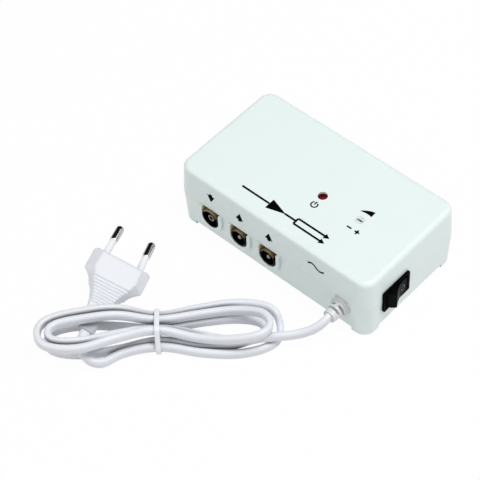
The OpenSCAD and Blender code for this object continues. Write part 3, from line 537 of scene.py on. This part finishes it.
def hankPath(spec):
    # long loops that cross at the waist: each half turn is a pinched oval, wider than the one inside it
    t = np.arange(spec["first"], spec["last"] + 1) / spec["rings"]
    off = spec["step"] / 2 * np.abs(t - spec["changeover"])
    a, b = spec["long"] + off, spec["wide"] + off
    k = np.pi / 2 - b / a * 2 / np.pi
    u = a * np.sin(k * np.cos(np.pi * t)) / np.sin(k)
    waist = np.exp(-(u / spec["drawnLength"]) ** 2)
    table = hankHeights(spec)
    place = np.clip(np.searchsorted(table[:, 0], t, "right") - 1, 0, len(table) - 2)
    low, high = table[place], table[place + 1]
    share = np.clip((t - low[:, 0]) / (high[:, 0] - low[:, 0]), 0, 1)
    rise = low[:, 1] + (high[:, 1] - low[:, 1]) * (1 - np.cos(np.pi * share)) / 2
    v = (-np.sin(np.pi * t) * (spec["wide"] - spec["drawn"] * waist + off * (1 - spec["squeeze"] * waist))
         - spec["lean"] * (1 - waist) * np.maximum(rise - spec["layer"], 0))
    pressed = 1 - (1 - spec["press"]) * waist
    v, rise = v * pressed, spec["bed"] + (rise - spec["bed"]) * pressed + spec["lift"] * waist
    c, s = cosSin(spec["turned"])
    return np.stack([spec["at"][0] + u * c - v * s, spec["at"][1] + u * s + v * c, rise], -1)


def plugMatrix(spec):
    x, y, z = (math.radians(v) for v in spec["turned"])
    turn = Matrix.Rotation(z, 3, "Z") @ Matrix.Rotation(y, 3, "Y") @ Matrix.Rotation(x, 3, "X")
    return np.array(turn), np.array(spec["at"])


def stadium(width, thick, corners):
    # flat oval: two half circles held apart
    a = fullTurn(corners) + np.pi / corners
    apart = np.sign(np.sin(a)) * (width - thick) / 2
    return np.stack([thick / 2 * np.cos(a), thick / 2 * np.sin(a) + apart], -1)


def addLead(lead, hank, plug):
    # a flat oval carried along one path, upright in the hank and turned with the plug at its end
    tip = np.array(lead["tip"])
    rings = hankPath(hank)
    turn, at = plugMatrix(plug)
    tail = at + turn @ np.array([-plug["length"], 0, 0])
    backward = turn @ np.array([-1.0, 0, 0])
    knots = np.vstack([tip + (0, lead["inside"], 0), tip - (0, lead["straight"], 0), lead["route"], rings,
                       lead["toPlug"], tail + backward * lead["straight"], tail - backward * lead["inside"]])
    path = relaxed(evenly(threaded(knots, lead["knotParts"]), lead["pointStep"]), lead["relax"])
    lastRing = np.argmin(np.linalg.norm(path - rings[-1], axis=1))
    share = np.clip((np.arange(len(path)) - lastRing) / (len(path) - 1 - lastRing), 0, 1)
    share = (share * share * (3 - 2 * share))[:, None]
    ups = (1 - share) * np.array([0, 0, 1.0]) + share * (turn @ np.array([0, 1.0, 0]))
    profile = stadium(lead["width"], lead["thick"], lead["corners"])
    skin = carry(path, ups, profile[None])
    piece = addPiece("mainsLead", skin, leadWhite, "case",
                     paintedCreaseShade=creaseShadeAmount(skin, path, lead["paintedCreaseShade"], lead["ownRun"]))
    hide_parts("lead_stretch", "lead_hank", "plug_stretch")
    length = np.linalg.norm(np.diff(path, axis=0), axis=1).sum() * mm
    print("lead", round(length, 4), "m long,", len(path), "points")
    return piece, path, length


leadPiece, leadPath, leadLength = addLead(leadSpec, hankSpec, plugSpec)


# tie round the waist of the hank
tieSpec = {"wide": 2.5, "thick": 1.1, "gap": 0.05, "runs": 7, "around": 144, "section": 16, "head": 0.35,
           "headAt": 98, "headReach": 9}


def blunted(q):
    # makes a circle's sine or cosine that of a rounded square
    return np.sign(q) * np.abs(q) ** 0.5


def addTie(tie, hank, lead):
    # the band follows the hull of the runs: at each angle it rests on the run that reaches furthest
    rings = hankPath(hank)
    at = hank["rings"] // 2 - hank["first"] + hank["rings"] * np.arange(tie["runs"])
    ends = np.concatenate([rings[at] + unit(rings[at + k] - rings[at]) * tie["wide"] / 2 for k in (-1, 1)])
    c, s = cosSin(hank["turned"])
    aside = (ends[:, 1] - hank["at"][1]) * c - (ends[:, 0] - hank["at"][0]) * s
    half = (lead["width"] - lead["thick"]) / 2
    spots = np.concatenate([np.stack([aside, ends[:, 2] + k * half], -1) for k in (-1, 1)])
    a, b = fullTurn(tie["around"]), fullTurn(tie["section"])
    out = np.stack([np.cos(a), np.sin(a)], -1)
    rest = spots[np.argmax(out @ spots.T, axis=1)]
    head = np.exp(-((np.degrees(a) - tie["headAt"]) / tie["headReach"]) ** 2) * tie["head"]
    deep, along = tie["thick"] / 2 * blunted(np.cos(b)), tie["wide"] / 2 * blunted(np.sin(b))
    reach = lead["thick"] / 2 + tie["gap"] + tie["thick"] / 2 + deep[None] + head[:, None] * (deep > 0)
    flat = rest[:, None] + out[:, None] * reach[..., None]
    points = np.stack([hank["at"][0] + along[None] * c - flat[..., 0] * s,
                       hank["at"][1] + along[None] * s + flat[..., 0] * c, flat[..., 1]], -1)
    piece = addPiece("hankTie", points, tieWhite, "case", ringed=True)
    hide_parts("hank_tie")
    return piece


tiePiece = addTie(tieSpec, hankSpec, leadSpec)


# plug, in millimetres back from the pin face; the block's stations are place, half width and half thickness
plugForm = {"block": [(0.0, 15.2, 2.0), (-0.2, 15.35, 2.4), (-3.8, 15.35, 6.7), (-4.2, 15.35, 6.85),
                      (-12.4, 15.35, 6.85)],
            "corner": -12.4, "flatEnd": -17.0, "slant": (0.70, 0.22), "tail": (3.9, 2.7), "fade": 9.3,
            "fall": 0.75, "fallFrom": -5, "fallLength": 12, "stepDown": 1.1, "stepLength": 0.4,
            "sharp": [(-46, 3), (-36, 5), (-26, 12), (-18, 24), (-12, 40)],
            "endLength": 0.8, "endDrop": 0.2, "stationStep": 0.2, "corners": 160,
            "ribs": 8, "ribFrom": -17.5, "ribPitch": 1.65, "ribHeight": 0.7, "ribHalf": (8.8, 4.8),
            # painted shade between the ribs, and on the tail where it lies under the runs of the hank
            "ribEdge": 0.4, "ribFlank": 0.2, "grooveShade": 0.17,
            "paintedCreaseShade": (1.8, 13.0, 1.0), "tailFrom": -33.0, "tailFade": 3}


def addPlug(form, plug):
    # each section is a soft polygon: its reach at an angle is a high-power mean of its sides' reaches
    block, sharpness = np.array(form["block"])[::-1], np.array(form["sharp"])
    x = np.arange(-plug["length"], form["stationStep"] / 2, form["stationStep"])[:, None]
    behind, under = np.maximum(form["corner"] - x, 0), np.maximum(form["flatEnd"] - x, 0)
    half, thick = np.interp(x, block[:, 0], block[:, 1]), np.interp(x, block[:, 0], block[:, 2])
    half = form["tail"][0] + (half - form["tail"][0]) * np.exp(-behind / form["fade"])
    thick = thick - form["fall"] * np.clip((form["fallFrom"] - x) / form["fallLength"], 0, 1)
    thick = thick - form["stepDown"] * np.clip(under / form["stepLength"], 0, 1)
    thick = form["tail"][1] + (thick - form["tail"][1]) * np.exp(-under / form["fade"])
    slant = np.interp(x, (-plug["length"], form["flatEnd"], form["corner"]), (0, *form["slant"][::-1]))
    sharp = np.interp(x, sharpness[:, 0], sharpness[:, 1])
    end = 1 - form["endDrop"] * (1 - np.sqrt(np.clip((x + plug["length"]) / form["endLength"], 0, 1)))
    a = fullTurn(form["corners"])
    c, s = np.abs(np.cos(a))[None], np.abs(np.sin(a))[None]
    reach = end * ((s / thick) ** sharp + ((c + slant * s) / half) ** sharp) ** (-1 / sharp)
    y, z = reach * np.cos(a), reach * np.sin(a)
    # ribs across both flat sides: a sine's square, cut off above and below
    back = (form["ribFrom"] - x) / form["ribPitch"]
    ribbed = (back > 0) & (back < form["ribs"])
    wave = ribbed * np.clip(2 * np.sin(np.pi * (back % 1)) ** 2 - 0.5, 0, 1)
    wide = np.interp(np.clip(back, 0, form["ribs"]), (0, form["ribs"]), form["ribHalf"])
    inset = np.clip((wide - np.abs(y)) / form["ribEdge"], 0, 1) * (s > form["ribFlank"])
    z = z + np.sign(z) * form["ribHeight"] * wave * inset
    turn, at = plugMatrix(plug)
    skin = np.stack([np.broadcast_to(x, y.shape), y, z], -1) @ turn.T + at
    # painted shade between the ribs, and where the tail lies in the hank under its runs
    tailOnly = np.clip((form["tailFrom"] - x) / form["tailFade"], 0, 1)
    shade = creaseShadeAmount(skin, hankPath(hankSpec), form["paintedCreaseShade"]).reshape(y.shape) * tailOnly
    shade = np.maximum(shade, (1 - wave) * inset * ribbed * form["grooveShade"])
    piece = addPiece("plugMoulding", skin, plugWhite, "case", paintedCreaseShade=shade)
    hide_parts("plug_body")
    return piece


plugPiece = addPlug(plugForm, plugSpec)


# plug pins: round-nosed rods that lean in a little, in white sleeves as far as they are covered
pinSpec = {"apart": 9.3, "lean": 1.66, "radius": 2.0, "core": 1.4, "covered": 9.1, "length": 19.0,
           "root": 2.0, "neck": 0.1, "chamfer": 0.05, "rows": 12, "corners": 32}
sleeveSpec = {"radius": 1.78, "foot": 0.4, "play": 0.03, "bevel": 0.15, "bevelMid": (0.04, 0.05), "rows": 10}


def addRod(name, side, along, radius, finish, ringed=False):
    # circles of the given radii along an axis that leans towards the other pin
    a = fullTurn(pinSpec["corners"])
    c, s = cosSin(pinSpec["lean"] * side)
    along, radius = along[:, None], radius[:, None]
    x = along * c + radius * np.cos(a) * s
    y = side * pinSpec["apart"] - along * s + radius * np.cos(a) * c
    turn, at = plugMatrix(plugSpec)
    rings = np.stack([x, y, radius * np.sin(a)], -1) @ turn.T + at
    return addPiece(name, rings, finish, "case", ringed)


def addPin(number, side, spec):
    # radius along the pin: thin in its sleeve, straight, then a circle's quarter
    nose = quarterTurn(spec["rows"])
    start, end, full = spec["covered"], spec["length"] - spec["radius"], spec["radius"]
    straight = np.linspace(start + spec["chamfer"], end, spec["rows"])
    along = np.concatenate([[-spec["root"], start - spec["neck"], start, start], straight,
                            end + full * np.sin(nose)])
    radius = np.concatenate([[spec["core"]] * 3, [full - spec["chamfer"]], np.full(len(straight), full),
                             full * np.cos(nose)])
    piece = addRod(f"plugPin{number}", side, along, radius, pinNickel)
    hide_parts(f"plug_pin_{number}")
    return piece


def addSleeve(number, side, spec, pin):
    # an open tube: out along its outside, over a rounded edge and back along its bore
    outer, bore = spec["radius"], pin["core"] + spec["play"]
    end, (short, shy) = pin["covered"] - spec["play"], spec["bevelMid"]
    along = np.concatenate([np.linspace(-spec["foot"], end - spec["bevel"], spec["rows"]),
                            [end - short, end, end, -spec["foot"]]])
    radius = np.concatenate([np.full(spec["rows"], outer), [outer - shy, outer - spec["bevel"], bore, bore]])
    piece = addRod(f"pinSleeve{number}", side, along, radius, sleeveWhite, ringed=True)
    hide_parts(f"pin_sleeve_{number}")
    return piece


pinPieces = []
for number, side in ((1, 1), (2, -1)):
    pinPieces += [addPin(number, side, pinSpec), addSleeve(number, side, sleeveSpec, pinSpec)]
print("tie and plug made")

(leadPath * mm).tolist()


# lamp lens: a shallow dome that fills its hole, a little below the face
lensForm = {"radius": 2.46, "foot": 36.0, "edge": 38.2, "crown": 39.0, "around": 64, "rows": 14}


def addLens(form, at):
    # circles up a straight skirt, then over a quarter of a flattened circle
    t = quarterTurn(form["rows"])
    r = np.concatenate([[form["radius"]], form["radius"] * np.cos(t)])[:, None]
    z = np.concatenate([[form["foot"]], form["edge"] + (form["crown"] - form["edge"]) * np.sin(t)])[:, None]
    rings = revolved(at, r, z, fullTurn(form["around"])[None])
    piece = addPiece("lampLens", rings, lampRed, "case")
    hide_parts("power_lamp")


addLens(lensForm, lampGlass["at"])


# dust ring in the gap round the gain shaft: edge and lip are radius and height
dustRing = {"edge": (2.38, 39.48), "lip": (1.62, 39.14), "lipThick": 0.08, "below": 0.8, "rows": 10,
            "around": 96}


def addDustRing(spec, at):
    # a shallow dish carried round a circle: it falls steeply from the case and levels out at the shaft's end
    (edge, top), (lip, low) = spec["edge"], spec["lip"]
    t = np.linspace(0, 1, spec["rows"])
    under, base = low - spec["lipThick"], top - spec["below"]
    dish = low + (top - low) * (1 - np.sin(t * np.pi / 2))
    r = np.concatenate([edge + (lip - edge) * t, [lip, lip + under - base, edge]])[None]
    z = np.concatenate([dish, [under, base, base]])
    rings = revolved(at, r, z, fullTurn(spec["around"])[:, None])
    addPiece("gainDustRing", rings, dustGrey, "case", ringed=True)


addDustRing(dustRing, gainShaft["at"])
print("lens and dust ring made")


# printed marks: ribbons of ink laid on a surface, in millimetres
inkSpec = {"lift": 0.02, "thick": 0.05, "point": 0.05, "rows": 12}
arrowSpec = {"length": 0.9, "jump": 0.01, "point": 0.02, "rows": 8}
caseFaces = {"top": 39.5, "front": -34.3, "lean": 0.75 / 18.5}
rockerFace = {"pivot": (59.5, -13.3, 19.3), "tilt": 16.0, "dishAt": 18.7, "dishRadius": 15.0, "lift": 0.12}


def onTop(p, h):
    return np.stack([p[..., 0], p[..., 1], caseFaces["top"] + h + 0 * p[..., 0]], -1)


def onFront(p, h):
    # the wall leans in above the parting line
    wall = caseFaces["front"] + caseFaces["lean"] * (p[..., 1] - seamLine["z"])
    return np.stack([p[..., 0], wall - h, p[..., 1]], -1)


def onRocker(p, h):
    # the dish of the rocker: along it, then up it
    face = rockerFace
    x = face["dishAt"] - np.sqrt((face["dishRadius"] - face["lift"] - h) ** 2 - p[..., 0] ** 2)
    c, s = cosSin(face["tilt"])
    return np.array(face["pivot"]) + np.stack([x * c - p[..., 0] * s, x * s + p[..., 0] * c, p[..., 1]], -1)


def inkLine(name, path, widths, surface, finish=inkBlack, body="case", closed=False):
    # a flat path given a width at every point, as a film over the surface
    path = np.array(path, float)
    widths = np.broadcast_to(np.array(widths, float), len(path))
    ahead = (np.roll(path, -1, 0) - np.roll(path, 1, 0)) if closed else np.gradient(path, axis=0)
    aside = unit(ahead) @ np.array([[0, 1], [-1, 0]]) * widths[:, None] / 2
    low, high = inkSpec["lift"], inkSpec["lift"] + inkSpec["thick"]
    rings = np.stack([surface(path - aside, low), surface(path + aside, low),
                      surface(path + aside, high), surface(path - aside, high)], 1)
    return addPiece(name, rings, finish, body, ringed=closed, smooth=False)


def segment(start, end, count=inkSpec["rows"]):
    t = np.linspace(0, 1, count)[:, None]
    return np.array(start) * (1 - t) + np.array(end) * t


def oval(at, wide, tall, a):
    return np.stack([at[0] + wide * np.cos(a), at[1] + tall * np.sin(a)], -1)


def arrow(name, start, end, width, head, surface):
    # a stem and a pointed head, as one ribbon whose width jumps at the head
    spec, rows = arrowSpec, arrowSpec["rows"]
    start, end = np.array(start, float), np.array(end, float)
    neck = end - unit(end - start) * head * spec["length"]
    path = np.vstack([segment(start, neck, rows), segment(neck + (end - neck) * spec["jump"], end, rows)])
    widths = np.concatenate([np.full(rows, width), np.linspace(head, spec["point"], rows)])
    inkLine(name, path, widths, surface)


marks = {"flow": {"y": -23.9, "from": -26.5, "body": -9.0, "tip": 1.5, "fork": 8.0, "to": 27.3, "apart": 1.9,
                  "line": 1.1, "tall": 6.4, "head": 3.2, "gap": 0.1, "overlap": 0.6},
         "wedge": {"tip": (27.3, 0.85), "end": (33.8, 2.9), "bow": 0.5, "wide": 3.4, "swell": 0.85,
                   "rows": 24},
         "power": {"at": (8.0, -10.4), "radius": 1.7, "line": 0.7, "open": (125, 415), "bar": 1.3,
                   "rows": 40},
         "gain": {"minus": (29.8, -10.4), "plus": (34.6, -10.4), "size": 1.4, "line": 0.85},
         "socket": {"x": (-38.8, -19.8, -0.8), "z": (26.9, 32.3), "line": 1.8, "head": 4.8},
         "mains": {"x": (24.0, 34.0), "z": 30.6, "tall": 1.2, "line": 0.95, "rows": 40},
         "rocker": {"at": 2.7, "wide": 1.25, "tall": 1.9, "line": 0.42, "rows": 40}}


def addFlow(flow):
    # the way of the signal: in, through a triangle, out and into two branches
    y, line, taper = flow["y"], flow["line"], np.linspace(flow["tall"], inkSpec["point"], inkSpec["rows"])
    low, high = y - flow["apart"], y + flow["apart"]
    inkLine("flowIn", segment((flow["from"], y), (flow["body"], y)), line, onTop)
    inkLine("flowStage", segment((flow["body"] + flow["gap"], y), (flow["tip"], y)), taper, onTop)
    inkLine("flowOut", segment((flow["tip"] - flow["overlap"], y), (flow["fork"], y)), line, onTop)
    inkLine("flowFork", segment((flow["fork"], low), (flow["fork"], high)), line, onTop)
    for k, branch in enumerate((low, high), 1):
        arrow(f"flowBranch{k}", (flow["fork"], branch), (flow["to"], branch), line, flow["head"], onTop)


def addTopMarks(wedge, power, gain):
    # a bowed wedge, an open ring with its bar, and minus and plus
    t = np.linspace(0, 1, wedge["rows"])
    path = segment(wedge["tip"], wedge["end"], wedge["rows"])
    path[:, 1] += wedge["bow"] * 4 * t * (1 - t)
    widths = inkSpec["point"] + (wedge["wide"] - inkSpec["point"]) * t ** wedge["swell"]
    inkLine("gainWedge", path, widths, onTop)
    a = np.radians(np.linspace(*power["open"], power["rows"]))
    inkLine("powerRing", oval(power["at"], power["radius"], power["radius"], a), power["line"], onTop)
    x, y = power["at"]
    inkLine("powerBar", segment((x, y), (x, y + power["radius"] * power["bar"])), power["line"], onTop)
    size, line = gain["size"], gain["line"]
    for name in ("minus", "plus"):
        x, y = gain[name]
        inkLine(name + "Bar", segment((x - size, y), (x + size, y)), line, onTop)
    x, y = gain["plus"]
    inkLine("plusPost", segment((x, y - size), (x, y + size)), line, onTop)


def addFrontMarks(socket, mains):
    # an arrow into the first socket and out of the others, and one swing of a sine
    low, high = socket["z"]
    for k, x in enumerate(socket["x"], 1):
        ends = ((x, high), (x, low)) if k == 1 else ((x, low), (x, high))
        arrow(f"socketArrow{k}", *ends, socket["line"], socket["head"], onFront)
    x = np.linspace(*mains["x"], mains["rows"])
    swing = np.sin(2 * np.pi * (x - x[0]) / (x[-1] - x[0])) * mains["tall"]
    inkLine("mainsWave", np.stack([x, mains["z"] + swing], -1), mains["line"], onFront)


def addRockerMarks(rock):
    # a ring on one half and a bar on the other
    ring = oval((rock["at"], 0), rock["wide"], rock["tall"], fullTurn(rock["rows"]))
    bar = segment((-rock["at"], -rock["tall"]), (-rock["at"], rock["tall"]))
    inkLine("rockerRing", ring, rock["line"], onRocker, inkGrey, "rocker", closed=True)
    inkLine("rockerBar", bar, rock["line"], onRocker, inkGrey, "rocker")


addFlow(marks["flow"])
addTopMarks(marks["wedge"], marks["power"], marks["gain"])
addFrontMarks(marks["socket"], marks["mains"])
addRockerMarks(marks["rocker"])
print("marks printed")


# stage, in metres: white floor and world, soft lamps, and a black card that the plated pins mirror
stageSpec = {"floor": 3.0, "drop": 0.0003, "paper": (0.76, 0.76, 0.76), "whiteness": 0.97, "world": 0.54,
             "matt": 0.9, "aim": (0.0, -0.04, 0.02),
             "lamps": [("keyLamp", (0.52, 0.20, 1.42), 0.6, 13.2),
                       ("fillLamp", (-0.35, -0.95, 0.75), 0.5, 1.9)],
             "card": {"at": (-0.60, 0.46, 0.46), "size": 0.95, "shade": (0.01, 0.01, 0.01)}}


def addSquare(name, half, height, finish):
    mesh = bpy.data.meshes.new(name)
    corners = [(-half, -half, height), (half, -half, height), (half, half, height), (-half, half, height)]
    mesh.from_pydata(corners, [], [(0, 1, 2, 3)])
    mesh.materials.append(finish.material)
    square = bpy.data.objects.new(name, mesh)
    bpy.context.scene.collection.objects.link(square)
    return square


def facing(place, aim, axis):
    # stands at a place with one of its axes towards the aim
    toward = Vector(aim) - Vector(place)
    return Matrix.Translation(place) @ toward.to_track_quat(axis, "Y").to_matrix().to_4x4()


def addFloor(spec):
    # pale paper that takes the shadow, blended with plain white where it is seen directly
    paper = Finish("floorPaper", Base_Color=spec["paper"], Roughness=spec["matt"], **dull)
    blend = paper.node("MixShader", at0=paper.seenDirectly() * spec["whiteness"],
                       at1=Wire(paper.tree, paper.shader.outputs[0]), at2=paper.node("Emission"))
    paper.put(paper.tree.nodes["Material Output"].inputs["Surface"], blend)
    floor = addSquare("floor", spec["floor"], -spec["drop"], paper)


def addLight(spec):
    world = bpy.data.worlds.new("studio")
    bpy.context.scene.world = world
    world.use_nodes = True
    studio = Tree(world.node_tree)
    sky = world.node_tree.nodes["Background"]
    studio.put(sky.inputs["Color"], (1, 1, 1))
    studio.put(sky.inputs["Strength"], studio.seenDirectly() * (1 - spec["world"]) + spec["world"])
    for name, place, size, power in spec["lamps"]:
        light = bpy.data.lights.new(name, "AREA")
        light.shape, light.size, light.energy = "DISK", size, power
        lamp = bpy.data.objects.new(name, light)
        lamp.matrix_world = facing(place, spec["aim"], "-Z")
        bpy.context.scene.collection.objects.link(lamp)


def addCard(card, spec):
    black = Finish("cardBlack", Base_Color=card["shade"], Roughness=spec["matt"], **dull)
    panel = addSquare("darkCard", card["size"], 0, black)
    panel.matrix_world = facing(card["at"], spec["aim"], "Z")
    panel.visible_camera = panel.visible_diffuse = panel.visible_shadow = False


addFloor(stageSpec)
addLight(stageSpec)
addCard(stageSpec["card"], stageSpec)
bpy.context.scene.view_settings.view_transform = "Standard"
print("stage set")
